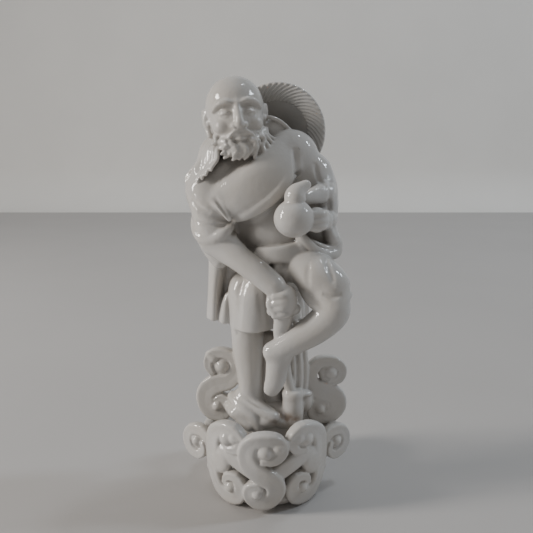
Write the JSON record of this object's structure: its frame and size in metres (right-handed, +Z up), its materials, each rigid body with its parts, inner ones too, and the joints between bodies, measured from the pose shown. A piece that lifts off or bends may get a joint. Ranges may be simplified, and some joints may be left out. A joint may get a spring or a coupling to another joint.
{
  "type": "porcelain god figurine",
  "caption": "White glazed porcelain figurine of a bearded immortal with crutch, double gourd and straw hat, standing on one leg on a round base of scrolled clouds.",
  "frame": {"origin": "centre of the underside of the figurine's bounding box, on the ground, close to the middle of the foot ring", "axes": "+Z up, -Y towards the figurine's front, +X to the viewer's right"},
  "size_m": [0.0942, 0.0768, 0.2197],
  "materials": {
    "glaze": "glossy white porcelain glaze"
  },
  "bodies": {
    "root": {"figurine": "glaze"}
  },
  "joints": []
}
